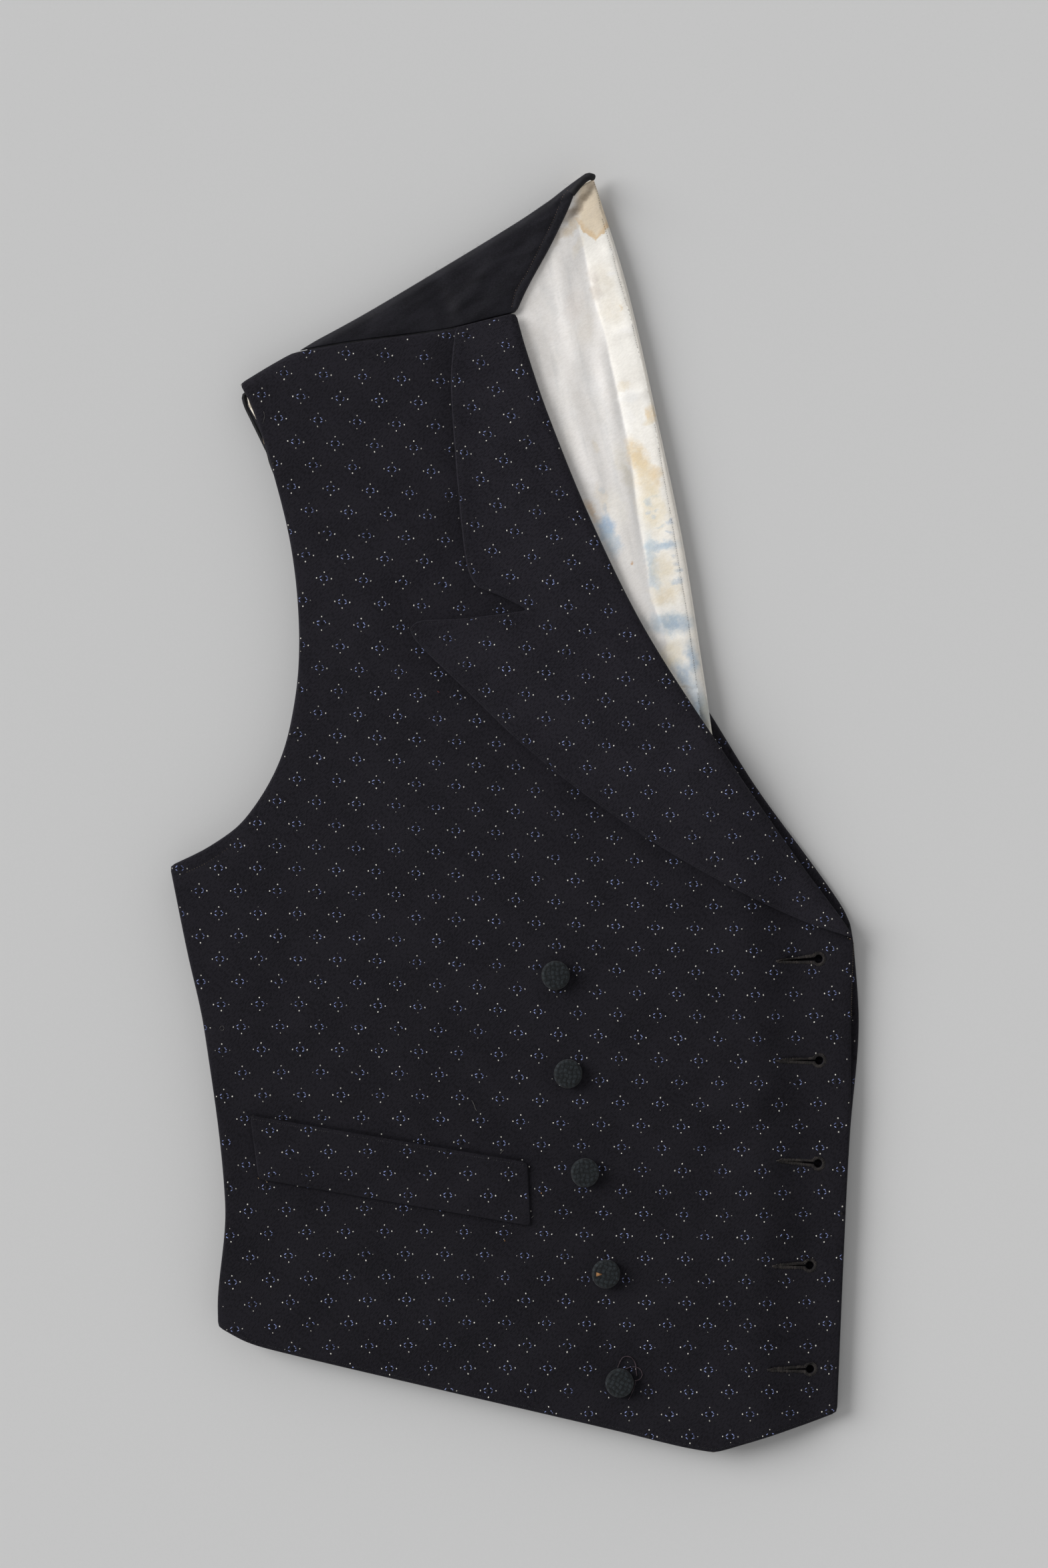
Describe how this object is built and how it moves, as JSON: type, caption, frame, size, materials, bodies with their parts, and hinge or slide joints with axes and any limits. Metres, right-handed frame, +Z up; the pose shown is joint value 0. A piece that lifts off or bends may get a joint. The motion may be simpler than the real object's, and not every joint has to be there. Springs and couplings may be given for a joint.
{
  "type": "folded wool waistcoat",
  "caption": "Double-breasted wool waistcoat folded in half along the centre back and laid flat, with a turned-back notched lapel, covered buttons, keyhole buttonholes and a welt pocket.",
  "frame": {"origin": "middle of the laid-out garment, on the surface that it lies on", "axes": "+X towards the front edges, +Y towards the neck, +Z up out of the surface"},
  "size_m": [0.3438, 0.6384, 0.0167],
  "materials": {
    "wool": "matte fine twill wool, near black, with small woven motifs of four cream dots round a ring of blue dashes",
    "satin": "black cotton satin with a soft sheen",
    "lining": "off-white cotton sateen, lightly stained",
    "button_cloth": "dark grey-green basket weave button covering"
  },
  "bodies": {
    "root": {"far_front": "wool", "folded_back": "satin", "back_lining": "lining", "back_shoulder": "satin", "front_panel": "wool", "collar_lapel": "wool", "pocket_welt": "wool", "button_1": "button_cloth", "button_2": "button_cloth", "button_3": "button_cloth", "button_4": "button_cloth", "button_5": "button_cloth"}
  },
  "joints": []
}
